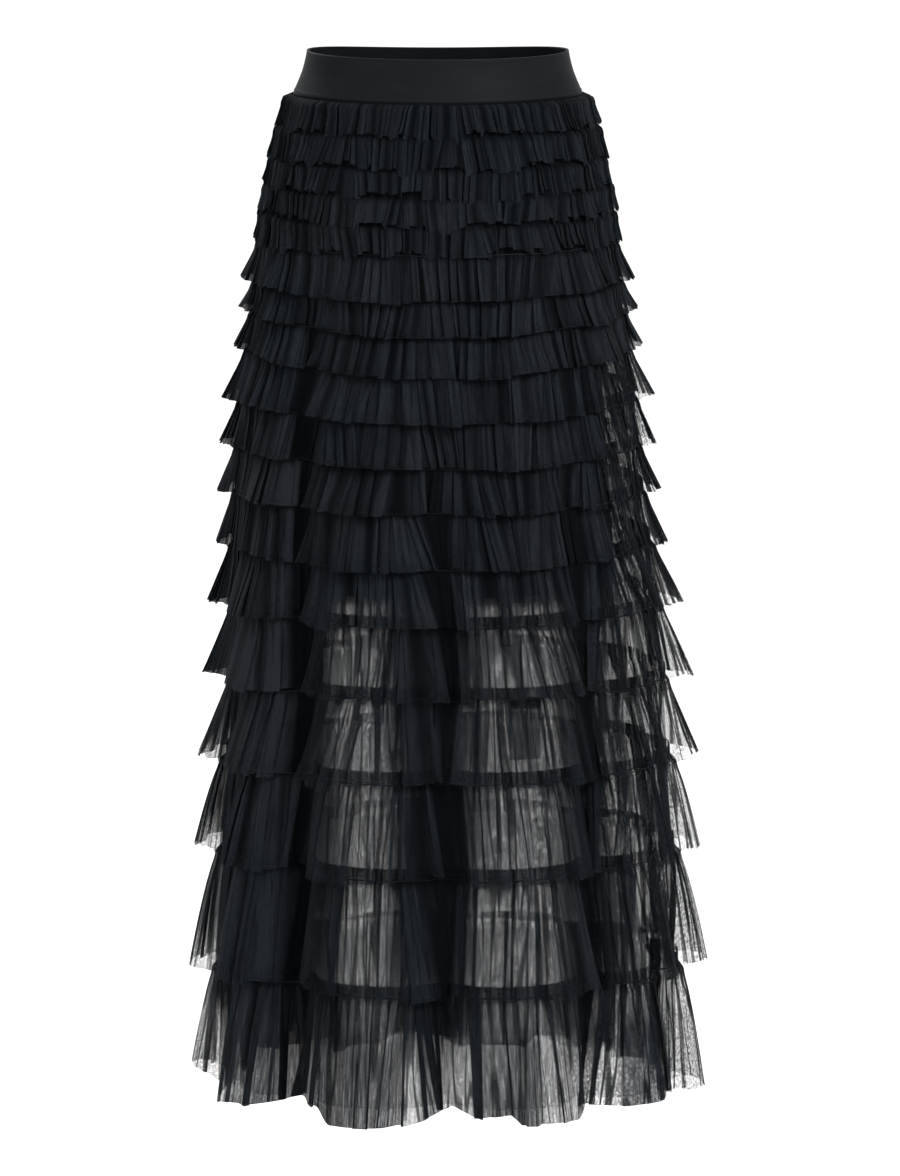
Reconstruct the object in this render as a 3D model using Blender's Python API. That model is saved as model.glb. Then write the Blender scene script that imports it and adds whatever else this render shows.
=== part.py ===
"""Tiered net maxi skirt in the shape it has when it is worn, with nobody in it.

An elastic waistband carries a sheer base skirt and a short lining. Eighteen gathered
ruffles are sewn round the base skirt, each over the head of the next. Metres, +Z up,
-Y is the front. The origin is the centre of the waist, halfway up the waistband.
"""

from collections import namedtuple

import bmesh
import bpy
import numpy as np

# Waistband: half its width from side to side at its top and its foot, and its height.
WAIST_HALF_WIDTH = 0.1150
BAND_FOOT_HALF_WIDTH = 0.1275
BAND_TOP = 0.019
BAND_FOOT = -0.019
BAND_WALL = 0.0020
BACK_DIP = 0.007

# The waistband's side line: how far down each ring is, and how far out it has come by then.
BAND_RINGS = ((0.0, 0.0), (0.5, 0.38), (1.0, 1.0))

# Cross-section: depth over width at the waist and at the hem.
WAIST_DEPTH_RATIO = 0.76
HEM_DEPTH_RATIO = 0.78

# Cloth walls, and the gap between sewn pieces.
CLOTH_WALL = 0.0012
SEAM_GAP = 0.0003
SEWN_LIFT = 0.0005

# How far a ruffle's head stands above its own seam, under the ruffle over it.
SMALL_HEAD = 0.006
LARGE_HEAD = 0.011

# The lining's hem: its height, and half its width.
LINING_HEM = -0.450
LINING_HEM_HALF_WIDTH = 0.1580

# The small plain tab that hangs inside the front from one of the seams.
TAB_SEAM = 14
TAB_ANGLE_DEG = 21.0
TAB_SPREAD_DEG = 4.5
TAB_LENGTH = 0.055
TAB_WALL = 0.0010
TAB_COLUMNS = 4

# The skirt swings a little to its left, seen from the front at the right-hand side.
SWING = 0.009
SWING_START = -0.330
SWING_END = -0.540

# Points round each ring.
SEGMENTS = 60

# One row for each ruffle from the waist down: its lower edge, half the base skirt's width
# there, how far it flares from that, how much lower it is at the front, and its waves.
Ruffle = namedtuple("Ruffle", "edge base_half_width flare front_drop waves")
RUFFLES = (
    Ruffle(-0.046, 0.1345, 0.0072, 0.000, 10),
    Ruffle(-0.073, 0.1405, 0.0080, 0.001, 10),
    Ruffle(-0.097, 0.1458, 0.0068, 0.002, 10),
    Ruffle(-0.122, 0.1498, 0.0074, 0.001, 10),
    Ruffle(-0.148, 0.1540, 0.0068, 0.000, 10),
    Ruffle(-0.183, 0.1580, 0.0148, 0.004, 10),
    Ruffle(-0.210, 0.1610, 0.0136, 0.009, 10),
    Ruffle(-0.243, 0.1655, 0.0140, 0.010, 10),
    Ruffle(-0.287, 0.1720, 0.0180, 0.006, 12),
    Ruffle(-0.329, 0.1750, 0.0170, 0.004, 10),
    Ruffle(-0.371, 0.1785, 0.0166, 0.001, 10),
    Ruffle(-0.417, 0.1830, 0.0156, 0.005, 10),
    Ruffle(-0.471, 0.1870, 0.0230, 0.001, 12),
    Ruffle(-0.538, 0.1910, 0.0260, -0.004, 12),
    Ruffle(-0.610, 0.1955, 0.0266, 0.000, 12),
    Ruffle(-0.692, 0.1995, 0.0248, 0.004, 12),
    Ruffle(-0.797, 0.2035, 0.0276, 0.003, 12),
    Ruffle(-0.916, 0.2050, 0.0243, -0.003, 12),
)

# Wave height as a share of the flare: the short ruffles stay stiffer than the long ones.
SMALL_WAVE = 0.27
LARGE_WAVE = 0.36
SMALL_RUFFLES = 5

# Unevenness of the waves, in their width and in their height.
WIDTH_DRIFT = 0.5
WIDTH_RIPPLE = 0.3
HEIGHT_RIPPLE = 0.18

# The longest ruffles bow out: the share of their flare that they have halfway down.
BOWED_RUFFLES = 3
BOW = 0.64

# Seams where the base skirt runs straight on, and how far down the last ruffle it ends.
STRAIGHT_SEAMS = (2, 4)
BASE_HEM_SHARE = 0.85

# Long folds that run down the whole skirt, each a valley between two lobes of cloth: the angle
# from the front towards +X, half its spread, its depth at the hem, and where it starts.
Fold = namedtuple("Fold", "angle_deg spread_deg hem_depth top")
FOLDS = (
    Fold(-43.0, 8.0, 0.030, -0.150),
    Fold(-1.0, 9.0, 0.024, -0.260),
    Fold(40.0, 8.5, 0.024, -0.300),
    Fold(-74.0, 6.5, 0.012, -0.470),
    Fold(70.0, 6.5, 0.012, -0.440),
    Fold(-112.0, 9.0, 0.020, -0.300),
    Fold(107.0, 8.5, 0.018, -0.340),
    Fold(-148.0, 9.5, 0.023, -0.260),
    Fold(143.0, 9.0, 0.024, -0.280),
    Fold(177.0, 8.5, 0.020, -0.320),
)

# Each cloth's colour, with its alpha, and its roughness.
ELASTIC = ((0.019, 0.022, 0.026, 1.0), 0.55)
NET = ((0.016, 0.019, 0.022, 1.0), 0.85)
LINING_CLOTH = ((0.008, 0.009, 0.011, 1.0), 0.45)
TAB_CLOTH = ((0.014, 0.016, 0.019, 1.0), 0.60)

# Angle of each point of a ring, from the front towards +X.
ANGLES = np.linspace(-np.pi, np.pi, SEGMENTS, endpoint=False)
FRONT = np.clip(np.cos(ANGLES), 0.0, 1.0) ** 2
BACK = np.clip(-np.cos(ANGLES), 0.0, 1.0) ** 2

# Height and half-width of the base skirt at the band's foot and at each ruffle's edge.
SEAM_HEIGHTS = [BAND_FOOT - SEAM_GAP] + [row.edge for row in RUFFLES]
SEAM_HALF_WIDTHS = [BAND_FOOT_HALF_WIDTH] + [row.base_half_width for row in RUFFLES]
SEAM_DROPS = [0.0] + [row.front_drop for row in RUFFLES]
HEM = SEAM_HEIGHTS[-1]


def depth_ratio(z):
    """Depth over width at height z, straight from the waist's to the hem's."""
    return np.interp(-z, [-BAND_FOOT, -HEM], [WAIST_DEPTH_RATIO, HEM_DEPTH_RATIO])


def swing(z):
    """How far the middle of the skirt lies to the side at height z, as a smooth step."""
    share = np.clip((SWING_START - z) / (SWING_START - SWING_END), 0.0, 1.0)
    return SWING * share * share * (3.0 - 2.0 * share)


def fold_depth(z):
    """How far the long folds pull the cloth in at each angle: bell curves that grow downwards."""
    depth = np.zeros(SEGMENTS)
    for fold in FOLDS:
        growth = np.clip((fold.top - z) / (fold.top - HEM), 0.0, 1.0)
        away = (ANGLES - np.radians(fold.angle_deg) + np.pi) % (2.0 * np.pi) - np.pi
        bell = np.exp(-((away / np.radians(fold.spread_deg)) ** 2))
        depth += fold.hem_depth * growth * bell
    return depth


def oval(half_width, z, heights):
    """An ellipse of points at these heights, shaped for z, and its outward directions."""
    half_depth = half_width * depth_ratio(z)
    points = np.zeros((SEGMENTS, 3))
    points[:, 0] = half_width * np.sin(ANGLES)
    points[:, 1] = -half_depth * np.cos(ANGLES)
    points[:, 2] = heights
    outward = np.zeros((SEGMENTS, 3))
    outward[:, 0] = np.sin(ANGLES) / half_width
    outward[:, 1] = -np.cos(ANGLES) / half_depth
    outward /= np.linalg.norm(outward, axis=1)[:, None]
    return points, outward


def seam(level):
    """The base skirt's outer face at the band's foot, level 0, or at the edge of a ruffle."""
    z = SEAM_HEIGHTS[level]
    points, outward = oval(SEAM_HALF_WIDTHS[level], z, z - SEAM_DROPS[level] * FRONT)
    points -= outward * fold_depth(z)[:, None]
    points[:, 0] += swing(z)
    return points, outward


def between(level, share):
    """The base skirt's outer face a share of the way from this seam down to the next."""
    above, outward = seam(level)
    below, _ = seam(level + 1)
    return above + (below - above) * share, outward


def parallel(points, distance):
    """The ring moved outwards by a distance, square to its own curve."""
    along = np.roll(points, -1, axis=0) - np.roll(points, 1, axis=0)
    square = np.column_stack([along[:, 1], -along[:, 0], np.zeros(SEGMENTS)])
    square /= np.linalg.norm(square, axis=1)[:, None]
    return points + square * distance


def waves(number):
    """A ruffle's waves, from -1 to 1: cosines of uneven width and height, a crest at each side."""
    turn = ANGLES - np.pi / 2.0
    drift = WIDTH_DRIFT * np.sin(2.0 * turn)
    ripple = WIDTH_RIPPLE * (np.sin(4.0 * turn + number) - np.sin(number))
    height = 1.0 - HEIGHT_RIPPLE * (1.0 - np.cos(2.0 * (1 + number % 3) * turn))
    return height * np.cos(RUFFLES[number].waves * turn + drift + ripple)


def finish(name, cloth):
    """The piece's own material."""
    colour, roughness = cloth
    material = bpy.data.materials.new(name)
    material.use_nodes = True
    shader = material.node_tree.nodes["Principled BSDF"]
    shader.inputs["Base Color"].default_value = colour
    shader.inputs["Roughness"].default_value = roughness
    shader.inputs["Metallic"].default_value = 0.0
    return material


def loft(name, sections, cloth, capped=False):
    """Closed loops of points joined in order: back round to the first, or capped at both ends.

    Each face is split from its upper left to its lower right corner, on the walls that go down
    and on those that come back up, so the two sides of a wall stay parallel.
    """
    mesh = bmesh.new()
    rows = [[mesh.verts.new(point) for point in points] for points in sections]
    followers = rows[1:] if capped else rows[1:] + rows[:1]
    for above, below in zip(rows, followers):
        rising = above[0].co.z < below[0].co.z
        for here in range(len(above)):
            beside = (here + 1) % len(above)
            corners = (above[here], below[here], below[beside], above[beside])
            if rising:
                corners = corners[1:] + corners[:1]
            mesh.faces.new(corners[:3])
            mesh.faces.new((corners[2], corners[3], corners[0]))
    if capped:
        mesh.faces.new(rows[0])
        mesh.faces.new(rows[-1])
    bmesh.ops.recalc_face_normals(mesh, faces=mesh.faces)
    data = bpy.data.meshes.new(name)
    mesh.to_mesh(data)
    mesh.free()
    data.shade_smooth()
    data.materials.append(finish(name, cloth))
    piece = bpy.data.objects.new(name, data)
    bpy.context.scene.collection.objects.link(piece)
    piece.parent = bpy.data.objects["skirt"]


def tube(name, outer, wall, cloth):
    """A tube of cloth: down its outer rings, then back up the inner ones, a wall's thickness in."""
    inner = [parallel(points, -wall) for points in outer]
    loft(name, outer + inner[::-1], cloth)


def waistband():
    """Wide elastic band: steep at its top edge, then out over the hips, lower at the back."""
    outer = []
    for down, out in BAND_RINGS:
        z = BAND_TOP + (BAND_FOOT - BAND_TOP) * down
        half_width = WAIST_HALF_WIDTH + (BAND_FOOT_HALF_WIDTH - WAIST_HALF_WIDTH) * out
        points, _ = oval(half_width, z, z - BACK_DIP * BACK * (1.0 - down))
        outer.append(points)
    tube("waistband", outer, BAND_WALL, ELASTIC)


def lining():
    """Short straight slip inside the base skirt, free of its folds."""
    z = SEAM_HEIGHTS[0]
    top, _ = oval(BAND_FOOT_HALF_WIDTH, z, z)
    hem, _ = oval(LINING_HEM_HALF_WIDTH, LINING_HEM, LINING_HEM)
    tube("lining", [parallel(top, -CLOTH_WALL - SEAM_GAP), hem], CLOTH_WALL, LINING_CLOTH)


def base_skirt():
    """Sheer under-skirt that carries the ruffles, with a ring of points at each seam."""
    levels = [level for level in range(len(RUFFLES)) if level not in STRAIGHT_SEAMS]
    outer = [seam(level)[0] for level in levels]
    outer.append(between(len(RUFFLES) - 1, BASE_HEM_SHARE)[0])
    tube("base_skirt", outer, CLOTH_WALL, NET)


def head_ring(number):
    """Top edge of a ruffle's head, which lies on the base skirt above the ruffle's seam."""
    head = SMALL_HEAD if number < SMALL_RUFFLES else LARGE_HEAD
    rise = head / (SEAM_HEIGHTS[number - 1] - SEAM_HEIGHTS[number])
    return between(number - 1, 1.0 - rise)[0]


def ruffle(number):
    """One gathered strip: its head lies on the base skirt, and it flares into waves at its edge."""
    flare = RUFFLES[number].flare
    small = number < SMALL_RUFFLES
    wave = SMALL_WAVE if small else LARGE_WAVE
    swell = 1.0 - wave + wave * waves(number)
    rings = []
    if number > 0:
        rings.append(head_ring(number))
    if number == 0 or not small:
        rings.append(seam(number)[0])
    if number >= len(RUFFLES) - BOWED_RUFFLES:
        points, outward = between(number, 0.5)
        rings.append(points + outward * (flare * BOW * swell)[:, None])
    points, outward = seam(number + 1)
    rings.append(points + outward * (flare * swell)[:, None])
    outer = [parallel(points, SEWN_LIFT + CLOTH_WALL) for points in rings]
    tube(f"ruffle_{number + 1:02d}", outer, CLOTH_WALL, NET)


def arc(points, first_deg, last_deg):
    """A few evenly spaced points of a ring between two angles."""
    wanted = np.radians(np.linspace(first_deg, last_deg, TAB_COLUMNS))
    return np.column_stack([np.interp(wanted, ANGLES, points[:, axis]) for axis in range(3)])


def inner_tab():
    """Small plain tab of thin cloth that hangs straight down inside the front from a seam."""
    first = TAB_ANGLE_DEG - TAB_SPREAD_DEG
    last = TAB_ANGLE_DEG + TAB_SPREAD_DEG
    outside, _ = seam(TAB_SEAM)
    front = arc(parallel(outside, -CLOTH_WALL - SEAM_GAP), first, last)
    back = arc(parallel(outside, -CLOTH_WALL - SEAM_GAP - TAB_WALL), first, last)
    top = np.vstack([front, back[::-1]])
    loft("inner_tab", [top, top - (0.0, 0.0, TAB_LENGTH)], TAB_CLOTH, capped=True)


def main():
    for old in list(bpy.data.objects):
        bpy.data.objects.remove(old)
    holder = bpy.data.objects.new("skirt", None)
    bpy.context.scene.collection.objects.link(holder)
    waistband()
    lining()
    base_skirt()
    for number in range(len(RUFFLES)):
        ruffle(number)
    inner_tab()


main()
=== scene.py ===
"""Looks of a tiered net maxi skirt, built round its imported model.

The file is laid out as an add-on and run as a script. Metres, +Z up, -Y is the front, and the
origin is the centre of the waist. Angles run from the front towards +X. Each cloth is a thin
sheet of points worked out with numpy on a grid of angle and height.
"""

from collections import namedtuple

import bpy
import numpy as np
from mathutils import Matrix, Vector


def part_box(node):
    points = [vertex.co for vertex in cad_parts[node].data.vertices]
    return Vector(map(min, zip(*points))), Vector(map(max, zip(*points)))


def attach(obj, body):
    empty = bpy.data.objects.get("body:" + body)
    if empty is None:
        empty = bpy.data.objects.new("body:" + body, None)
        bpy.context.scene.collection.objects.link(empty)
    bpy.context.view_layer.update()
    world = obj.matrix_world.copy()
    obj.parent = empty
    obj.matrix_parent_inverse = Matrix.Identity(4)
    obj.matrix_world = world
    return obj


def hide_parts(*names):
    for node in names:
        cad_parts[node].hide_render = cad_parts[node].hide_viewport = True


bl_info = {
    "name": "Tiered net skirt",
    "version": (1, 0, 0),
    "blender": (4, 5, 0),
    "location": "3D View > Sidebar > Skirt",
    "description": "Gathered net ruffles, elastic waistband and lining for the packed skirt",
    "category": "Object",
}

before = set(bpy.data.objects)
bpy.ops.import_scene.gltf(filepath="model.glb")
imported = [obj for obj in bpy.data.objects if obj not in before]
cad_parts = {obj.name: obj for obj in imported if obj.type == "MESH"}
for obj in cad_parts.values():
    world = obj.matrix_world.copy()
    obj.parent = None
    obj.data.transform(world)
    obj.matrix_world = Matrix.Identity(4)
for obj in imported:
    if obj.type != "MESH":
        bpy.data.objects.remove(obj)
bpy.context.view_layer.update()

TURN = 2.0 * np.pi

# Waistband: its height and wall, how much lower its top edge is at the back, how far it has
# widened at each share of its height, and how round its edges are as a share of that.
BAND_TOP = 0.019
BAND_FOOT = -0.019
BAND_WALL = 0.0020
BACK_DIP = 0.007
BAND_RINGS = ((0.0, 0.0), (0.5, 0.38), (1.0, 1.0))
BAND_ROUND = 0.012

# Cross-section: depth over width at the waist and at the hem.
WAIST_DEPTH_RATIO = 0.76
HEM_DEPTH_RATIO = 0.78

# The lining's hem: its height, and half its width.
LINING_HEM = -0.450
LINING_HEM_HALF_WIDTH = 0.1580

# The tab: the seam that it hangs from, and the angles of its two edges.
TAB_SEAM = 14
TAB_ANGLES_DEG = (16.5, 25.5)

# The skirt swings a little to its left, seen from the front at the right-hand side.
SWING = 0.009
SWING_START = -0.330
SWING_END = -0.540

# How far a ruffle's head stands above its own seam, and its rows of points.
SMALL_HEAD = 0.006
LARGE_HEAD = 0.011
HEAD_ROWS = 3

# One row for each ruffle, from the waist down: its lower edge, half the base skirt's width
# there, how far it flares from that, how much lower it is at the front, and its waves.
Ruffle = namedtuple("Ruffle", "edge base_half_width flare front_drop waves")
RUFFLES = (
    Ruffle(-0.046, 0.1345, 0.0072, 0.000, 10),
    Ruffle(-0.073, 0.1405, 0.0080, 0.001, 10),
    Ruffle(-0.097, 0.1458, 0.0068, 0.002, 10),
    Ruffle(-0.122, 0.1498, 0.0074, 0.001, 10),
    Ruffle(-0.148, 0.1540, 0.0068, 0.000, 10),
    Ruffle(-0.183, 0.1580, 0.0148, 0.004, 10),
    Ruffle(-0.210, 0.1610, 0.0136, 0.009, 10),
    Ruffle(-0.243, 0.1655, 0.0140, 0.010, 10),
    Ruffle(-0.287, 0.1720, 0.0180, 0.006, 12),
    Ruffle(-0.329, 0.1750, 0.0170, 0.004, 10),
    Ruffle(-0.371, 0.1785, 0.0166, 0.001, 10),
    Ruffle(-0.417, 0.1830, 0.0156, 0.005, 10),
    Ruffle(-0.471, 0.1870, 0.0230, 0.001, 12),
    Ruffle(-0.538, 0.1910, 0.0260, -0.004, 12),
    Ruffle(-0.610, 0.1955, 0.0266, 0.000, 12),
    Ruffle(-0.692, 0.1995, 0.0248, 0.004, 12),
    Ruffle(-0.797, 0.2035, 0.0276, 0.003, 12),
    Ruffle(-0.916, 0.2050, 0.0243, -0.003, 12),
)
SMALL_RUFFLES = 5
MIDDLE_RUFFLES = 8
LONG_START = SMALL_RUFFLES + MIDDLE_RUFFLES

# The first ruffle that bows out from its seam, and the first with a thin right side.
BOWED_START = 15
THIN_SIDE_START = SMALL_RUFFLES + 3

# Wave height as a share of the flare.
SMALL_WAVE = 0.27
LARGE_WAVE = 0.36

# Long folds that run down the whole skirt, each a valley between two lobes of cloth.
Fold = namedtuple("Fold", "angle_deg spread_deg hem_depth top")
FOLDS = (
    Fold(-43.0, 8.0, 0.030, -0.150),
    Fold(-1.0, 9.0, 0.024, -0.260),
    Fold(40.0, 8.5, 0.024, -0.300),
    Fold(-74.0, 6.5, 0.012, -0.470),
    Fold(70.0, 6.5, 0.012, -0.440),
    Fold(-112.0, 9.0, 0.020, -0.300),
    Fold(107.0, 8.5, 0.018, -0.340),
    Fold(-148.0, 9.5, 0.023, -0.260),
    Fold(143.0, 9.0, 0.024, -0.280),
    Fold(177.0, 8.5, 0.020, -0.320),
)

# The crease along the bottom of each long fold: its depth, the length over which it forms, its
# width as a share of the fold's, and how deep the fold is where the crease is whole.
VALLEY_CREASE = 0.007
VALLEY_GROWTH = 0.15
VALLEY_SHARE = 0.55
FULL_FOLD = 0.03

# On one side of each long fold, 1 for its left and -1 for its right, a lobe of cloth leans over
# it: how far, how far off the fold its middle is, and how wide it is, in degrees.
LOBE_SIDES = (1, -1, -1, 1, -1, 1, -1, -1, 1, 1)
LOBE_LEAN_DEG = 4.6
LOBE_OFFSET_DEG = 5.0
LOBE_SPREAD_DEG = 4.0

# Height and half-width of the base skirt at the band's foot and at each ruffle's edge.
LEVELS = np.arange(len(RUFFLES) + 1)
HEIGHTS = np.array([BAND_FOOT - 0.0003] + [row.edge for row in RUFFLES])
DROPS = np.array([0.0] + [row.front_drop for row in RUFFLES])

# Gathers of each group of ruffles: pleats round the skirt and points across each; rows down the
# cloth; how far the cloth stands off the base skirt; how far pleats lie over each other at the seam
# and at the edge, as a share of their width; their depth there and at the edge, in metres; how far
# they lean, in degrees; how uneven the cut edge is from pleat to pleat and from one length to the
# next; and how many layers of net one surface stands for at the seam and at the edge.
Gather = namedtuple(
    "Gather",
    "pleats points rows stand seam_overlap edge_overlap seam_depth edge_depth lean "
    "pleat_rise step_rise seam_layers edge_layers",
)
SMALL_GATHER = Gather(186, 8, 9, 0.0030, 0.50, 0.55, 0.0036, 0.0062, 2.2, 0.0024, 0.0046, 11.0, 8.0)
MIDDLE_GATHER = Gather(142, 12, 11, 0.0028, 0.50, 0.40, 0.0034, 0.0082, 2.0, 0.0009, 0.0014, 11.0, 4.2)
LONG_GATHER = Gather(100, 17, 15, 0.0024, 0.55, 0.34, 0.0026, 0.0105, 2.4, 0.0022, 0.0040, 8.0, 3.4)

# What one layer of the net covers, and the width of the denser line along a raw edge.
LAYER_COVER = 0.25
RAW_EDGE = 0.0010

# Sheer places, where the long ruffles lie flat: for each of these ruffles, the angle and half-spread
# in degrees of the one on the right side and of the one on the left side. The pair at the back, the
# same on every ruffle, is given by the angles at the front that it lies opposite to.
SheerPair = namedtuple("SheerPair", "right right_spread left left_spread")
BACK_SHEER = SheerPair(-23.5, 14.5, 20.0, 18.5)
SHEER_PAIRS = (
    SheerPair(-25.0, 11.5, 21.2, 13.6),
    SheerPair(-23.5, 10.4, 18.9, 16.0),
    SheerPair(-22.0, 9.4, 19.3, 15.2),
    SheerPair(-20.8, 7.6, 17.6, 13.8),
    SheerPair(-19.4, 6.6, 17.2, 9.4),
)
SHEER_LAYERS = 2.7

# Layers of net along the last ruffle's hem, by the angle at the front. The back has the same.
HEM_LAYERS = (
    (-90, 2.4), (-72, 2.6), (-62, 3.8), (-58, 7.5), (-50, 9.5), (-46, 8.0), (-41, 4.5), (-36, 7.0),
    (-30, 9.5), (-22, 9.8), (-18.5, 8.0), (-15, 9.5), (-12, 7.5), (-10.8, 3.2), (-9.8, 3.2),
    (-8.4, 7.5), (-4, 6.5), (0, 5.0), (2.5, 4.3), (5.5, 4.3), (7, 7.2), (13, 7.6), (17, 9.5),
    (21.5, 9.0), (23.5, 4.4), (28, 5.0), (38, 4.2), (45, 6.2), (47.2, 2.4), (48.8, 2.4), (50, 6.0),
    (52, 8.2), (55.5, 9.0), (57.5, 2.4), (80, 2.1), (90, 1.8),
)

# How far the hem is cut short round the last ruffle: angle in degrees and rise in metres.
HEM_RISES = (
    (-180, 0.006), (-172, 0.014), (-163, 0.001), (-150, 0.003), (-147, 0.017), (-138, 0.009),
    (-124, 0.012), (-121, 0.002), (-108, 0.004), (-100, 0.014), (-90, 0.020), (-72, 0.016),
    (-64, 0.005), (-56, 0.005), (-47, 0.011), (-37, 0.019), (-29.5, 0.017), (-28, 0.000),
    (-14, 0.000), (-9, 0.006), (-5, 0.015), (0, 0.012), (3, 0.016), (7, 0.008), (13, 0.013),
    (16, 0.002), (32, 0.003), (34.5, 0.016), (39, 0.007), (50, 0.008), (65, 0.013), (78, 0.007),
    (92, 0.004), (104, 0.012), (118, 0.003), (131, 0.001), (134, 0.015), (146, 0.009), (158, 0.012),
    (161, 0.001), (180, 0.006),
)

# The stage: half the floor's width, the lamps, and the camera's lens, place and tilt.
Lamp = namedtuple("Lamp", "name place turn_deg size power")
FLOOR_REACH = 30.0
LAMPS = (
    Lamp("key", (2.2, -3.1, 2.4), (60.0, 0.0, 35.0), 1.2, 230.0),
    Lamp("fill", (-2.6, -2.2, 0.8), (78.0, 0.0, -50.0), 1.4, 20.0),
    Lamp("back", (-2.2, 3.0, 2.2), (60.0, 0.0, -143.0), 1.4, 130.0),
)
CAMERA_LENS = 244.86
CAMERA_PLACE = (0.0107, -7.0, 0.747)
CAMERA_TILT_DEG = 80.212


# Shapes.


def half_widths():
    """Half the base skirt's width at every seam, from the sizes in the panel."""
    sizes = bpy.context.scene.skirt_sizes
    return np.array([sizes.band_foot_half_width] + [row.base_half_width for row in RUFFLES])


def swing(z):
    """How far the middle of the skirt lies to the side at height z: a smooth step."""
    return SWING * smooth_step(-z, -SWING_START, -SWING_END)


def away_from(theta, angle_deg):
    """How far each angle is from this one, from half a turn back to half a turn on."""
    return (theta - np.radians(angle_deg) + np.pi) % TURN - np.pi


def bell(away, width):
    """exp(-(away / width)^2): 1 at its middle, falling to 0 on both sides."""
    return np.exp(-((away / width) ** 2))


def smooth_step(value, low, high):
    """0 below low and 1 above high, with a smooth rise between."""
    share = np.clip((value - low) / (high - low), 0.0, 1.0)
    return share * share * (3.0 - 2.0 * share)


def at_back(theta):
    """1 round the back of the skirt and 0 round the front."""
    return smooth_step(-np.cos(theta), 0.0, 0.3)


def valley_depth(theta, z):
    """Pull of the long folds: the sum of depth x growth down the skirt x a bell curve round it."""
    depth = 0.0
    for fold in FOLDS:
        growth = np.clip((fold.top - z) / (fold.top - HEIGHTS[-1]), 0.0, 1.0)
        shape = bell(away_from(theta, fold.angle_deg), np.radians(fold.spread_deg))
        depth += fold.hem_depth * growth * shape
    return depth + VALLEY_CREASE * valleys(theta, z)


def valleys(theta, z):
    """1 at the bottom of a long fold, once it is well below its top: narrow bell curves."""
    amount = 0.0
    for fold in FOLDS:
        growth = np.clip((fold.top - z) / VALLEY_GROWTH, 0.0, 1.0) * fold.hem_depth / FULL_FOLD
        shape = bell(away_from(theta, fold.angle_deg), np.radians(VALLEY_SHARE * fold.spread_deg))
        amount += growth * shape
    return amount


def ellipse(theta, half_width, half_depth, z):
    """Points (a sin t, -b cos t, z) and their outward directions (sin t / a, -cos t / b)."""
    sine, cosine = np.sin(theta), np.cos(theta)
    points = np.stack(np.broadcast_arrays(half_width * sine, -half_depth * cosine, z), -1)
    outward = np.stack(np.broadcast_arrays(sine / half_width, -cosine / half_depth, 0.0), -1)
    return points, outward / np.linalg.norm(outward, axis=-1, keepdims=True)


def depth_ratio(z):
    """Depth over width at height z, straight from the waist's to the hem's."""
    return np.interp(-z, [-BAND_FOOT, -HEIGHTS[-1]], [WAIST_DEPTH_RATIO, HEM_DEPTH_RATIO])


def body(theta, level):
    """The base skirt's face at this level, which counts the seams from 0 at the band's foot: an
    ellipse whose size and height run straight from seam to seam, lower at the front by
    drop x cos^2, less the long folds along its outward direction."""
    half = np.interp(level, LEVELS, half_widths())
    z = np.interp(level, LEVELS, HEIGHTS)
    drop = np.interp(level, LEVELS, DROPS) * np.clip(np.cos(theta), 0.0, 1.0) ** 2
    points, outward = ellipse(theta, half, half * depth_ratio(z), z - drop)
    points -= outward * valley_depth(theta, z)[..., None]
    points[..., 0] += swing(z)
    return points, outward


def waves(theta, number):
    """A ruffle's main waves, from -1 to 1: cosines of uneven width and height."""
    turn = theta - np.pi / 2.0
    drift = 0.5 * np.sin(2.0 * turn)
    ripple = 0.3 * (np.sin(4.0 * turn + number) - np.sin(number))
    height = 1.0 - 0.18 * (1.0 - np.cos(2.0 * (1 + number % 3) * turn))
    return height * np.cos(RUFFLES[number].waves * turn + drift + ripple)


def smooth_noise(theta, lumps, rng):
    """Random heights at evenly spread angles, joined by smooth steps and closed round the skirt."""
    values = rng.uniform(-1.0, 1.0, lumps)
    place = (theta + np.pi) / TURN * lumps
    here = np.floor(place).astype(int) % lumps
    share = smooth_step(place - np.floor(place), 0.0, 1.0)
    return values[here] * (1.0 - share) + values[(here + 1) % lumps] * share


Pleats = namedtuple("Pleats", "start width share tuck height fold reach shade")
CREST = 0.68


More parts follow.
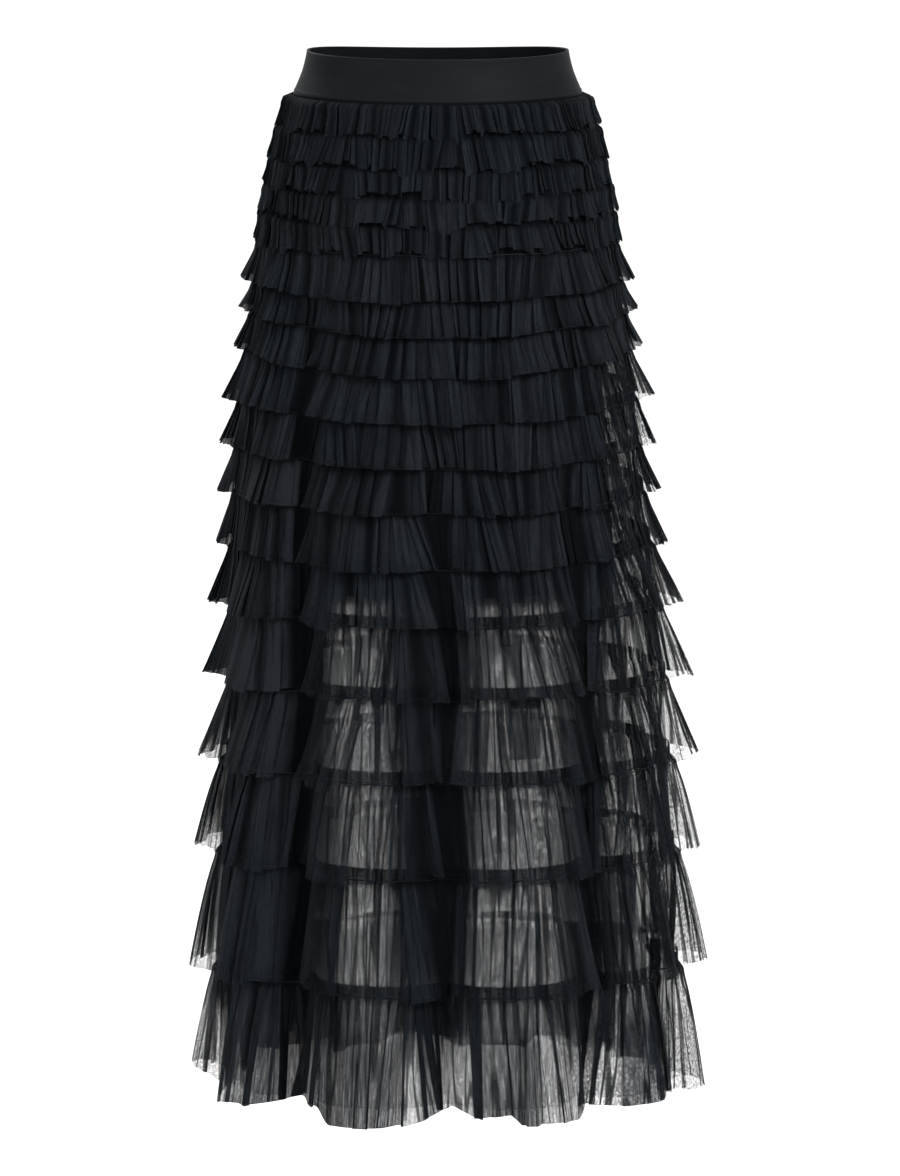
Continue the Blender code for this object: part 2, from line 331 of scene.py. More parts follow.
def pleat_columns(gather, rng):
    """Knife pleats of uneven width, each a long face that rises to a crest past the next pleat's
    start and a short one that turns back under it. Returns, at each column, the pleat's start and
    width in radians, its place across as share + overlap x tuck, its height, how sharply it is
    folded, how far down the fold reaches and how much light the pleat takes.

    Along a pleat q runs from 0 to 1, with the crest at CREST. The share rises to 1 there and
    stays, the tuck rises to 1 and returns to 0, the height goes from a crease to the crest and
    back, and the fold is a narrow bell curve at the crest. Pleats that turn the other way are
    mirrored.
    """
    count, points = gather.pleats, gather.points
    widths = np.clip(rng.normal(1.0, 0.3, count), 0.45, 1.9)
    edges = np.concatenate([[0.0], np.cumsum(widths)]) / widths.sum() * TURN - np.pi
    turned = (rng.random(count) < 0.5)[:, None]
    across = np.arange(points)[None] / points
    q = np.where(turned, 1.0 - across, across)
    share = np.minimum(q / CREST, 1.0)
    rise = np.where(q < CREST, q / CREST, (1.0 - q) / (1.0 - CREST))
    crests = rng.uniform(0.35, 1.0, (count, 1))
    creases = rng.uniform(-1.0, -0.35, (count, 1))
    before = across < np.where(turned, 1.0 - CREST, CREST)
    crease = np.where(before, creases, np.roll(creases, -1, axis=0))
    height = crease + (0.5 * crests - crease) * rise
    overlap = rng.uniform(0.35, 1.6, (count, 1))
    strength = rng.uniform(0.05, 1.0, (count, 1))
    reach = rng.uniform(-1.1, 1.6, count)
    shade = rng.uniform(0.55, 1.2, count)
    return Pleats(
        start=np.repeat(edges[:-1], points),
        width=np.repeat(np.diff(edges), points),
        share=np.where(turned, 1.0 - share, share).ravel(),
        tuck=(np.where(turned, -rise, rise) * overlap).ravel(),
        height=height.ravel(),
        fold=(bell(q - CREST, 0.045) * strength).ravel(),
        reach=np.repeat(reach, points),
        shade=np.repeat(shade, points),
    )


def soften(grid):
    """Each column moved halfway to the mean of its neighbours, round the skirt."""
    return 0.5 * grid + 0.25 * (np.roll(grid, 1, axis=1) + np.roll(grid, -1, axis=1))


def stepped_noise(theta, groups, rng):
    """Random heights that hold over a group of pleats and then jump, as a cut edge does."""
    edges = np.sort(rng.uniform(-np.pi, np.pi, groups))
    values = rng.uniform(-1.0, 1.0, groups)
    return values[np.searchsorted(edges, theta) % groups]


def lobe_lean(theta, number):
    """How far the cloth beside a long fold leans over it, in radians: bell curves at its sides."""
    lean = 0.0
    for fold, side in zip(FOLDS, LOBE_SIDES):
        growth = np.clip((fold.top - HEIGHTS[number + 1]) / VALLEY_GROWTH, 0.0, 1.0)
        away = away_from(theta, fold.angle_deg + side * LOBE_OFFSET_DEG)
        shape = bell(away, np.radians(LOBE_SPREAD_DEG))
        lean -= side * growth * np.radians(LOBE_LEAN_DEG) * shape
    return lean


def sheerness(theta, number):
    """1 in the places where this long ruffle lies flat and can be seen through, falling to 0."""
    front, back = SHEER_PAIRS[max(number - LONG_START, 0)], BACK_SHEER
    angles = (front.right, front.left, 180.0 - back.right, 180.0 - back.left)
    spreads = (front.right_spread, front.left_spread, back.right_spread, back.left_spread)
    away = [away_from(theta, angle) / np.radians(spread) for angle, spread in zip(angles, spreads)]
    return sum(np.exp(-(share ** 6)) for share in away)


def by_angle(table, theta):
    """The table's value at each angle, straight from one of its rows to the next."""
    degrees, values = zip(*table)
    return np.interp(np.degrees((theta + np.pi) % TURN - np.pi), degrees, values)


def gather_of(number):
    """The gathers of the group that this ruffle belongs to."""
    if number < SMALL_RUFFLES:
        return SMALL_GATHER
    return MIDDLE_GATHER if number < LONG_START else LONG_GATHER


def is_last(number):
    """True for the ruffle whose edge is the skirt's hem."""
    return number == len(RUFFLES) - 1


def ruffle_rows(number, drop):
    """Each row's place down a ruffle, in drops: below 0 on its head, 0 at the seam and 1 at the
    edge, closer together near the seam, with the last row but one just above the raw edge."""
    head = (SMALL_HEAD if number < SMALL_RUFFLES else LARGE_HEAD) if number else 0.0
    above = -np.linspace(1.0, 0.0, HEAD_ROWS if number else 0, endpoint=False) * head
    below = np.append(np.linspace(0.0, 1.0, gather_of(number).rows - 1) ** 1.1, 1.0)
    below[-2] = 1.0 - RAW_EDGE / drop
    return np.sort(np.concatenate([above / drop, below]))[:, None]


def cut_edge(number, theta, rng):
    """How much higher than straight a ruffle's raw edge is cut: by pleats, by groups of pleats and
    in long waves, and round the hem by its own table as well."""
    gather = gather_of(number)
    uneven = gather.pleat_rise * rng.uniform(-1.0, 1.0, gather.pleats).repeat(gather.points)
    uneven += gather.step_rise * stepped_noise(theta, 84 if number < SMALL_RUFFLES else 30, rng)
    uneven += 0.002 * smooth_noise(theta, 24, rng)
    if is_last(number):
        uneven = 0.6 * uneven + by_angle(HEM_RISES, theta)
    return np.maximum(uneven, -0.006)


# What a ruffle's looks need: its number and drop; each row's distance below the seam in metres and
# as a share of the drop, and how far its pleats are open; each column's angle and pleat, and how far
# it lies in a sheer place, in a long fold, at the side and on a small ripple.
Strip = namedtuple("Strip", "number drop below down opening theta pleats sheer valley at_side ripple")


def ruffle_surface(number):
    """A gathered strip as a grid of points, its looks, and each row's distance below its seam.

    Rows run from the head down to the edge and columns run round. The base skirt's face is moved
    out by flare x opening x main waves, and in and out by the pleats, which are shallow and close
    at the seam and deeper at the edge. The flare closes up in the long folds. A pinch and a puff
    of cloth mark the seam, and the raw edge is cut unevenly.
    """
    rng = np.random.default_rng(4100 + number)
    gather = gather_of(number)
    small = number < SMALL_RUFFLES
    long = number >= LONG_START
    drop = HEIGHTS[number] - HEIGHTS[number + 1]
    share = ruffle_rows(number, drop)
    below = share * drop
    down = np.clip(share, 0.0, 1.0)
    opening = down ** 0.8

    pleats = pleat_columns(gather, rng)
    theta = pleats.start + pleats.width * pleats.share
    sheer = sheerness(theta, number) if long else np.zeros_like(theta)
    lean = np.radians(gather.lean) * (smooth_noise(theta, 26, rng) + 0.6 * smooth_noise(theta, 61, rng))
    if not small:
        lean += lobe_lean(theta, number)
    overlap = gather.seam_overlap + (gather.edge_overlap - gather.seam_overlap) * opening
    place = theta + pleats.width * pleats.tuck * overlap * (1.0 - 0.75 * sheer) + lean * down
    if long:
        place += np.radians(2.0) * smooth_noise(theta, 40, rng) * (1.0 - opening)
    level = number + share
    if number:
        level = np.where(share < 0.0, number + below / (HEIGHTS[number - 1] - HEIGHTS[number]), level)
    points, outward = body(place, level)

    wave = SMALL_WAVE if small else LARGE_WAVE
    swell = 1.0 - wave + wave * waves(theta, number)
    valley = np.clip(valleys(theta, HEIGHTS[number + 1]), 0.0, 1.0)
    closed = 1.0 - 0.75 * valley
    if small:
        spread = 0.55 * smooth_step(share, -0.12, 0.1) + 0.45 * opening
    else:
        spread = down ** (0.64 if number >= BOWED_START else 1.0)
    flare = RUFFLES[number].flare * spread * swell * closed
    at_side = smooth_step(np.abs(np.sin(theta)), 0.86, 0.97)
    depth = gather.seam_depth + (gather.edge_depth - gather.seam_depth) * opening
    depth = depth * (1.0 - 0.5 * sheer) * (0.6 + 0.4 * closed) * (1.0 - 0.5 * at_side * long)
    ripple = np.cos(TURN * 2.6 * pleats.share + pleats.start * 40.0)
    relief = 0.5 * depth * (pleats.height - 0.35) + 0.0006 * (1.0 - 0.6 * opening) * ripple
    pinch = -0.0008 * bell(below, 0.0016) * (share >= 0.0)
    puff = 0.0014 * bell(below - 0.005, 0.004)
    out = np.maximum(gather.stand + flare + relief + pinch + puff, 0.0009)
    if number == 0:
        # The first ruffle's head is tucked under the band.
        out *= smooth_step(share, -0.06, 0.12)
    points += outward * out[..., None]
    points[..., 2] += cut_edge(number, theta, rng) * down ** 1.5

    strip = Strip(number, drop, below, down, opening, theta, pleats, sheer, valley, at_side, ripple)
    # The tone stored with each point is the ruffle's painted light and shade.
    looks = {"layers": net_layers(strip), "tone": net_painted_light_and_shade(strip), "lines": line_strength(strip)}
    return soften(points), looks, below.ravel()


def fold_reach(strip):
    """1 where a pleat's sharp fold can be seen: from the seam down as far as it reaches, or for a
    reach below 0 from the edge up."""
    reach, down = strip.pleats.reach, strip.down
    from_edge = smooth_step(reach + 1.1 + down, 0.9, 1.1)
    return np.where(reach > 0.0, smooth_step(reach - down, 0.0, 0.12), from_edge)


def net_layers(strip):
    """How many layers of net a ruffle's surface stands for: fewer towards its edge and in the
    sheer places, and more along sharp folds, gathers, long folds and the raw edge."""
    number, down, theta, sheer = strip.number, strip.down, strip.theta, strip.sheer
    long = number >= LONG_START
    gather = gather_of(number)
    side = np.sin(theta)
    behind = at_back(theta)
    thinned = smooth_step(down, 0.55, 1.0)
    layers = gather.seam_layers + (gather.edge_layers - gather.seam_layers) * thinned
    layers = np.repeat(layers, len(theta), axis=1)
    if long:
        # Thin at the right side, with uneven bars. Thinner towards the hem at the far left.
        bars = smooth_noise(theta, 76, np.random.default_rng(7300 + number))
        layers *= 1.0 - 0.8 * smooth_step(side, 0.55, 0.8)
        layers += (0.4 + 3.4 * bars) * smooth_step(side, 0.52, 0.66)
        layers *= 1.0 - 0.35 * smooth_step(side, 0.9, 0.99)
        layers *= 1.0 - 0.12 * (number - LONG_START) * smooth_step(-side, 0.9, 0.99)
    elif number >= SMALL_RUFFLES:
        layers += 4.5 * smooth_step(-side, 0.8, 0.93)
    if THIN_SIDE_START <= number < LONG_START:
        layers *= 1.0 - 0.8 * smooth_step(side, 0.7, 0.83)
    if number == LONG_START:
        layers += 6.0 * smooth_step(-side, 0.5, 0.8)
    if number == LONG_START - 1:
        layers += (3.0 - layers) * sheerness(theta, number) * smooth_step(down, 0.5, 0.66)

    # A sheer place is denser at its head, and at the back thinner there and where it laps the next.
    headed = 1.0 - smooth_step(strip.below, 0.000, 0.003)
    lapping = smooth_step(strip.below, strip.drop - 0.014, strip.drop - 0.01)
    thin = SHEER_LAYERS + (2.4 - 4.3 * behind) * headed - 1.2 * behind * lapping
    layers += (thin - layers) * sheer
    if is_last(number):
        hem = by_angle(HEM_LAYERS, np.arcsin(np.clip(side, -1.0, 1.0))) * (1.0 - 0.55 * behind)
        layers += (hem - layers) * smooth_step(down - 0.2 * behind, 0.22, 0.38)
    sharp = 12.0 * strip.pleats.fold * fold_reach(strip) * (1.0 - 0.8 * strip.at_side)
    gathered = np.clip(strip.ripple, 0.0, 1.0) ** 3 * np.exp(-down / 0.1)
    pulled = 3.0 * strip.valley * (1.0 - sheer) * (1.0 - down * is_last(number))
    layers = layers + (sharp + 4.0 * gathered) * long + pulled
    layers[-1] *= 1.5
    return layers


def net_painted_light_and_shade(strip):
    """Painted light and shade for a ruffle's colour: painted shade in creases, in long folds, along
    sharp folds and by the gathers at the seam, a painted shadow under the ruffle above, and painted
    light on the swell near the left side."""
    pleats, number = strip.pleats, strip.number
    # Painted shadow under the ruffle above, and painted shade in the creases from each pleat's height.
    covered = 0.78 * (1.0 - smooth_step(strip.below, -0.001, 0.007)) if number else 0.0
    tone = smooth_step(pleats.height, -0.8, 0.0) * pleats.shade * (1.0 - covered)
    # Painted shade in the long folds and along sharp folds.
    tone = tone * (1.0 - 0.97 * smooth_step(strip.valley, 0.28, 0.58))
    tone *= 1.0 - 0.5 * pleats.fold
    # Painted light on the swell near the left side.
    if number >= SMALL_RUFFLES:
        lift = 0.9 if number >= LONG_START else 0.35
        tone *= 1.0 + lift * bell(np.sin(strip.theta) + 0.86, 0.12)
    # Painted shade and light by the small gathers near the seam.
    ripple = 0.8 + 0.2 * strip.ripple * (1.0 - 0.7 * strip.opening)
    return tone * (1.0 - 0.4 * pleats.fold * fold_reach(strip)) * ripple


def line_strength(strip):
    """How strong the grain and the fold lines are: less at the back and more at the right side."""
    lifted = 0.7 * smooth_step(np.sin(strip.theta), 0.5, 0.68) * (strip.number >= THIN_SIDE_START)
    return 1.0 - 0.7 * at_back(strip.theta) + lifted


# Meshes.


def grid_mesh(name, points, across, down, looks=None, closed_rows=False):
    """A mesh of quads from a grid of points, whose last column joins its first where across has
    one number more than there are columns, and its last row its first for closed_rows.

    across is the cloth's own distance at each column and down that at each row: they are the UV
    map, in metres. looks are numbers stored with each point for the material.
    """
    rows, columns = points.shape[:2]
    strips, turns = rows if closed_rows else rows - 1, len(across) - 1
    index = np.arange(rows * columns).reshape(rows, columns)
    beside = np.roll(index, -1, axis=1)
    corners = (index, np.roll(index, -1, axis=0), np.roll(beside, -1, axis=0), beside)
    quads = np.stack([corner[:strips, :turns] for corner in corners], -1).reshape(-1, 4)
    mesh = bpy.data.meshes.new(name)
    mesh.vertices.add(rows * columns)
    mesh.vertices.foreach_set("co", points.astype(np.float32).ravel())
    mesh.loops.add(quads.size)
    mesh.loops.foreach_set("vertex_index", quads.astype(np.int32).ravel())
    mesh.polygons.add(len(quads))
    mesh.polygons.foreach_set("loop_start", np.arange(0, quads.size, 4, dtype=np.int32))
    mesh.polygons.foreach_set("use_smooth", np.ones(len(quads), bool))
    mesh.update(calc_edges=True)
    next_down = np.append(down[1:], 2 * down[-1] - down[-2])
    top, low = down[:strips, None], next_down[:strips, None]
    left, right = across[:-1], across[1:]
    uv = np.stack(np.broadcast_arrays(left, top, left, low, right, low, right, top), -1)
    mesh.uv_layers.new(name="UVMap").data.foreach_set("uv", uv.astype(np.float32).ravel())
    for label, values in (looks or {}).items():
        values = np.broadcast_to(values, (rows, columns)).astype(np.float32)
        mesh.attributes.new(label, "FLOAT", "POINT").data.foreach_set("value", values.ravel())
    mesh.validate()
    piece = bpy.data.objects.new(name, mesh)
    bpy.context.scene.collection.objects.link(piece)
    return piece


def around(columns):
    """Even angles round the skirt, from the middle of its back."""
    return np.linspace(-np.pi, np.pi, columns, endpoint=False)


def cloth_length(points):
    """Distance round a closed row of points, at each point and at the end."""
    steps = np.linalg.norm(np.roll(points, -1, axis=0) - points, axis=1)
    return np.concatenate([[0.0], np.cumsum(steps)])


def dress(piece, material, slot, *nodes):
    """The piece takes its material, rides with the skirt and stands for these nodes."""
    piece.data.materials.append(material)
    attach(piece, "root")
    if nodes:
        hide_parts(*nodes)
    return piece


# Materials.


class Finish:
    """A material, and short ways to add nodes to it. Each gives back the new node's output."""

    def __init__(self, name):
        self.material = bpy.data.materials.new(name)
        self.material.use_nodes = True
        self.tree = self.material.node_tree
        self.shader = self.tree.nodes["Principled BSDF"]

    def feed(self, node, inputs):
        """Each input, by name or number, takes its value or is linked to its output."""
        for name, value in inputs.items():
            if isinstance(value, bpy.types.NodeSocket):
                self.tree.links.new(value, node.inputs[name])
            else:
                node.inputs[name].default_value = value

    def add(self, kind, output, inputs=None, **settings):
        """A node of this kind, with its settings made before its inputs are fed."""
        node = self.tree.nodes.new("ShaderNode" + kind)
        for name, value in settings.items():
            setattr(node, name, value)
        self.feed(node, inputs or {})
        return node.outputs[output]

    def shade(self, inputs):
        """The shader takes these inputs. Gives back the finished material."""
        self.feed(self.shader, inputs)
        return self.material

    def uv(self):
        """The piece's UV map, in metres of cloth."""
        return self.add("UVMap", "UV")

    def place(self):
        """The place on the whole skirt, in metres."""
        return self.add("TexCoord", "Object")

    def attribute(self, label):
        """A number stored with each point of the mesh."""
        return self.add("Attribute", "Fac", attribute_name=label)

    def math(self, operation, *values, clamp=False):
        """A sum, product or the like of sockets or numbers."""
        return self.add("Math", 0, dict(enumerate(values)), operation=operation, use_clamp=clamp)

    def remap(self, value, low, high, to_low, to_high):
        """The value moved from one range to another and held inside it."""
        ends = {"From Min": low, "From Max": high, "To Min": to_low, "To Max": to_high}
        return self.add("MapRange", "Result", {"Value": value, **ends})

    def blend(self, factor, one, two):
        """Colour that goes from one to the other."""
        return self.add("Mix", "Result", {"Factor": factor, "A": one, "B": two}, data_type="RGBA")

    def threads(self, uv, turn_deg, period):
        """Parallel threads across the cloth: a sine band of this period, turned in the UV map."""
        turned = self.add("Mapping", 0, {"Vector": uv, "Rotation": (0.0, 0.0, np.radians(turn_deg))})
        inputs = {"Vector": turned, "Scale": np.pi / 10.0 / period}
        settings = {"wave_type": "BANDS", "bands_direction": "X", "wave_profile": "SIN"}
        return self.add("TexWave", "Fac", inputs, **settings)

    def noise(self, vector, scale, detail=2.0, stretch=(1.0, 1.0, 1.0)):
        """A noise texture, stretched where a scale is small."""
        stretched = self.add("Mapping", 0, {"Vector": vector, "Scale": stretch})
        return self.add("TexNoise", "Fac", {"Vector": stretched, "Scale": scale, "Detail": detail})

    def bump(self, height, strength, distance):
        """Raised threads, as a normal."""
        inputs = {"Height": height, "Strength": strength, "Distance": distance}
        return self.add("Bump", "Normal", inputs)


def tinted(colour, share=1.0):
    """The colour with each of its parts times this share, and opaque."""
    return (*(part * share for part in colour), 1.0)


def net_material():
    """Fine knitted net: one layer whose diagonal threads show, over as many more as its surface
    stands for. It lets through (1 - threads) x (1 - a layer's cover)^(layers - 1).

    Hairlines down the cloth, its grain and sharp fold lines add and take away layers, and fold
    lines are painted darker, as painted shade. The colour goes from a painted shade colour to the
    lit one by the painted light and shade stored with the mesh. The grain and the fold lines are as
    strong as the mesh says.
    """
    finishes = bpy.context.scene.skirt_finishes
    net = Finish("knitted_net")
    uv = net.uv()
    crossing = (net.threads(uv, turn_deg, finishes.net_hole) for turn_deg in (40.0, -40.0))
    cover = net.remap(net.math("MAXIMUM", *crossing), 0.72, 0.99, 0.05, 0.68)
    strength = net.attribute("lines")
    specks = net.noise(uv, 650.0, 2.0, (1.0, 0.5, 1.0))
    streaks = net.noise(uv, 800.0, 2.0, (1.0, 0.05, 1.0))
    bends = net.math("SUBTRACT", net.noise(uv, 80.0, 1.0, (1.0, 0.06, 1.0)), 0.5)
    line = net.remap(net.math("ABSOLUTE", bends), 0.01, 0.042, 1.0, 0.0)
    line = net.math("MULTIPLY", line, strength)

    hairlines = net.remap(streaks, 0.32, 0.68, 1.32, 0.68)
    grain = net.math("MULTIPLY", net.remap(specks, 0.3, 0.7, -1.8, 1.8), strength)
    layers = net.math("MULTIPLY", net.attribute("layers"), hairlines)
    layers = net.math("ADD", layers, grain)
    layers = net.math("ADD", layers, net.math("MULTIPLY", line, 5.5))
    others = net.math("MAXIMUM", net.math("SUBTRACT", layers, 1.0), 0.0)
    behind = net.math("POWER", 1.0 - LAYER_COVER, others)
    through = net.math("MULTIPLY", net.math("SUBTRACT", 1.0, cover), behind)

    drift = net.remap(net.noise(net.place(), 9.0, 3.0), 0.35, 0.65, 0.0, 1.0)
    lit = net.blend(drift, tinted(finishes.net_cool), tinted(finishes.net_warm))
    # The tone from the mesh is painted light and shade; specks and streaks vary it as grain, and fold
    # lines are painted darker as painted shade.
    tone = net.math("MULTIPLY", net.attribute("tone"), net.remap(specks, 0.3, 0.7, 0.78, 1.22))
    tone = net.math("MULTIPLY", tone, net.remap(streaks, 0.32, 0.68, 0.55, 1.35), clamp=True)
    tone = net.math("MULTIPLY", tone, net.remap(line, 0.0, 1.0, 1.0, 0.45))
    return net.shade({
        "Alpha": net.math("SUBTRACT", 1.0, through, clamp=True),
        # Painted light and shade: from the painted shade colour to the lit colour by the tone.
        "Base Color": net.blend(tone, tinted(finishes.net_painted_shade_colour), lit),
        "Roughness": 0.85,
        "Specular IOR Level": 0.02,
        "Sheen Weight": 0.006,
        "Sheen Roughness": 0.5,
    })


def elastic_material():
    """Smooth covered elastic: close lengthwise ribs with a soft satin gloss, a painted highlight along
    its sewn ridge and painted shade in the groove below it.
    """
    tone = bpy.context.scene.skirt_finishes.elastic
    band = Finish("satin_elastic")
    uv = band.uv()
    ends = band.math("MULTIPLY", band.threads(uv, 0.0, 0.0008), 0.5)
    height = band.math("ADD", band.threads(uv, 90.0, 0.0011), ends)
    drift = band.remap(band.noise(band.place(), 30.0, 3.0, (1.0, 1.0, 3.0)), 0.3, 0.7, 0.0, 1.0)
    cloth = band.blend(drift, tinted(tone), tinted(tone, 1.25))
    cloth = band.blend(band.remap(height, 0.0, 1.5, 0.0, 0.45), cloth, tinted(tone, 0.45))
    # Painted highlight along the sewn ridge.
    cloth = band.blend(band.attribute("ridge"), cloth, tinted(tone, 1.2))
    return band.shade({
        "Normal": band.bump(height, 0.22, 0.0003),
        # Painted shade in the groove below the ridge.
        "Base Color": band.blend(band.attribute("painted_groove_shade"), cloth, tinted(tone, 0.25)),
        "Roughness": 0.5,
        "Specular IOR Level": 0.025,
    })


def lining_material():
    """Thin, close-woven slip cloth."""
    tone = bpy.context.scene.skirt_finishes.lining
    slip = Finish("slip_cloth")
    uv = slip.uv()
    weave = slip.math("ADD", *(slip.threads(uv, turn, 0.0007) for turn in (0.0, 90.0)))
    drift = slip.remap(slip.noise(slip.place(), 14.0), 0.35, 0.65, 0.0, 1.0)
    return slip.shade({
        "Normal": slip.bump(weave, 0.15, 0.0002),
        "Base Color": slip.blend(drift, tinted(tone), tinted(tone, 1.3)),
        "Roughness": 0.5,
        "Specular IOR Level": 0.1,
    })


def thread_material():
    """Twisted sewing thread."""
    thread = Finish("sewing_thread")
    twist = thread.threads(thread.uv(), 30.0, 0.0009)
    return thread.shade({
        "Base Color": thread.blend(twist, (0.006, 0.007, 0.008, 1.0), (0.013, 0.014, 0.016, 1.0)),
        "Roughness": 0.7,
        "Specular IOR Level": 0.08,
    })


def tab_material():
    """Thin ribbon, half see-through, close at its upper end."""
    tone = bpy.context.scene.skirt_finishes.tab
    ribbon = Finish("sheer_ribbon")
    uv = ribbon.uv()
    weave = ribbon.math("MAXIMUM", *(ribbon.threads(uv, turn, 0.0009) for turn in (0.0, 90.0)))
    uncovered = ribbon.math("SUBTRACT", 1.0, ribbon.remap(weave, 0.4, 0.9, 0.35, 0.95))
    through = ribbon.math("POWER", uncovered, ribbon.attribute("layers"))
    return ribbon.shade({
        "Alpha": ribbon.math("SUBTRACT", 1.0, through, clamp=True),
        "Base Color": ribbon.blend(weave, tinted(tone), tinted(tone, 1.4)),
        "Roughness": 0.6,
        "Specular IOR Level": 0.1,
    })


def shared(name, maker):
    """The material of that name, made the first time that it is asked for."""
    return bpy.data.materials.get(name) or maker()


# The panel's sizes and finishes.


class SkirtSizes(bpy.types.PropertyGroup):
    """Sizes that a user may change"""

    waist_half_width: bpy.props.FloatProperty(
        name="Waist half width", description="Half the band's width at its top edge",
        default=0.115, min=0.08, max=0.2, unit="LENGTH", precision=4,
    )
    band_foot_half_width: bpy.props.FloatProperty(
        name="Band foot half width", description="Half the band's width at its lower edge",
        default=0.1275, min=0.08, max=0.2, unit="LENGTH", precision=4,
    )
    floor_height: bpy.props.FloatProperty(
        name="Floor height", description="Height of the floor below the waist",
        default=-1.3, unit="LENGTH",
    )


class SkirtFinishes(bpy.types.PropertyGroup):
    """Colours and the net's mesh"""

    net_cool: bpy.props.FloatVectorProperty(
        name="Net, cool tone", description="Colour of the net where it is coolest",
        default=(0.0088, 0.0118, 0.0147), subtype="COLOR", min=0.0, max=1.0,
    )
    net_warm: bpy.props.FloatVectorProperty(
        name="Net, warm tone", description="Colour of the net where it is warmest",
        default=(0.0108, 0.0123, 0.0148), subtype="COLOR", min=0.0, max=1.0,
    )
    # The painted shade colour: what the net's colour goes to in creases, long folds, fold lines and
    # under the ruffle above.
    net_painted_shade_colour: bpy.props.FloatVectorProperty(
        name="Net, in creases", description="Colour of the net deep in its folds",
        default=(0.0012, 0.0018, 0.0024), subtype="COLOR", min=0.0, max=1.0,
    )
    net_hole: bpy.props.FloatProperty(
        name="Net hole", description="Distance from one thread of the net to the next",
        default=0.0017, min=0.0005, max=0.005, unit="LENGTH", precision=4,
    )
    elastic: bpy.props.FloatVectorProperty(
        name="Elastic", description="Colour of the waistband",
        default=(0.0056, 0.0067, 0.0079), subtype="COLOR", min=0.0, max=1.0,
    )
    lining: bpy.props.FloatVectorProperty(
        name="Lining", description="Colour of the slip inside",
        default=(0.006, 0.007, 0.0085), subtype="COLOR", min=0.0, max=1.0,
    )
    tab: bpy.props.FloatVectorProperty(
        name="Tab", description="Colour of the small ribbon inside",
        default=(0.012, 0.014, 0.016), subtype="COLOR", min=0.0, max=1.0,
    )


# Pieces.


class SKIRT_OT_waistband(bpy.types.Operator):
    """Wide elastic band with a rounded top edge and a sewn ridge at its foot"""

    bl_idname = "skirt.waistband"
    bl_label = "Waistband"

    def execute(self, context):
        sizes = context.scene.skirt_sizes
        theta = around(300)
        down = np.linspace(0.0, 1.0, 28)
        out = 0.5 * np.interp(down, *zip(*BAND_RINGS)) + 0.5 * down ** 1.6
        ridge = 0.0004 * bell(down - 0.93, 0.022) - 0.0005 * bell(down - 0.975, 0.02)
        outside = np.stack([down, out, ridge], -1)
        edge = np.linspace(0.0, np.pi, 7)[1:-1]
        # Profile: down the outside, round the foot, up the inside and round the top, as
        # (height down, spread, distance inwards).
        foot = [(1.0 + BAND_ROUND * np.sin(a), 1.0, BAND_WALL * (1.0 - np.cos(a)) / 2.0) for a in edge]
        inside = [(d, o, BAND_WALL) for d, o, _ in outside[::-1]]
        top = [(-BAND_ROUND * np.sin(a), 0.0, BAND_WALL * (1.0 + np.cos(a)) / 2.0) for a in edge]
        profile = np.array([(d, o, -r) for d, o, r in outside] + foot + inside + top)
        down, out, inwards = (profile[:, i : i + 1] for i in range(3))
        half = sizes.waist_half_width + (sizes.band_foot_half_width - sizes.waist_half_width) * out
        z = BAND_TOP + (BAND_FOOT - BAND_TOP) * np.clip(down, 0.0, 1.0)
        dip = BACK_DIP * np.clip(-np.cos(theta), 0.0, 1.0) ** 2 * (1.0 - np.clip(down, 0.0, 1.0))
        points, outward = ellipse(theta, half, half * depth_ratio(z), z - dip)
        pucker = 0.00035 * smooth_noise(theta, 150, np.random.default_rng(77))
        pucker = pucker * np.clip(down - 0.55, 0.0, 1.0) ** 1.5
        points -= outward * (inwards - pucker)[..., None]
        across = cloth_length(points[8])
        outer = inwards < BAND_WALL / 2.0
        # Masks for a highlight painted along the sewn ridge and shade painted in the groove below it.
        ridge, painted_groove_shade = (bell(down - middle, 0.016) * outer for middle in (0.925, 0.965))
        looks = {"ridge": ridge, "painted_groove_shade": painted_groove_shade}
        length = np.cumsum(np.full(len(profile), 0.0015))
        piece = grid_mesh("elastic_band", points, across, length, looks, closed_rows=True)
        dress(piece, shared("satin_elastic", elastic_material), "waistband_elastic", "waistband")
        return {"FINISHED"}


class SKIRT_OT_base(bpy.types.Operator):
    """Sheer under-skirt that carries the ruffles"""

    bl_idname = "skirt.base"
    bl_label = "Base skirt"

    def execute(self, context):
        theta = around(600)
        level = np.concatenate([[0.02], np.arange(1.0, 13.0), np.linspace(12.25, 17.88, 28)])[:, None]
        points, outward = body(theta, level)
        ripple = 0.0022 * smooth_noise(theta, 90, np.random.default_rng(52))
        ripple = ripple * np.clip((level - 9.0) / 6.0, 0.0, 1.0)
        points += outward * (np.minimum(ripple, 0.0) - 0.0001)[..., None]
        sheer = np.where(level < 15.0, sheerness(theta, 14), sheerness(theta, 16))
        layers = 4.5 - 3.5 * sheer * smooth_step(level, 12.3, 12.6)
        layers *= 1.0 - 0.66 * smooth_step(np.sin(theta), 0.55, 0.8)
        layers = 1.0 + (layers - 1.0) * (1.0 - smooth_step(level, 17.2, 17.8))
        # The base skirt's net is painted evenly darker: 0.45 of the way from the painted shade colour
        # to the lit one.
        looks = {"layers": layers, "tone": 0.45}
        piece = grid_mesh("base_net", points, cloth_length(points[-1]), -points[:, 0, 2], looks)
        dress(piece, shared("knitted_net", net_material), "net", "base_skirt")
        return {"FINISHED"}


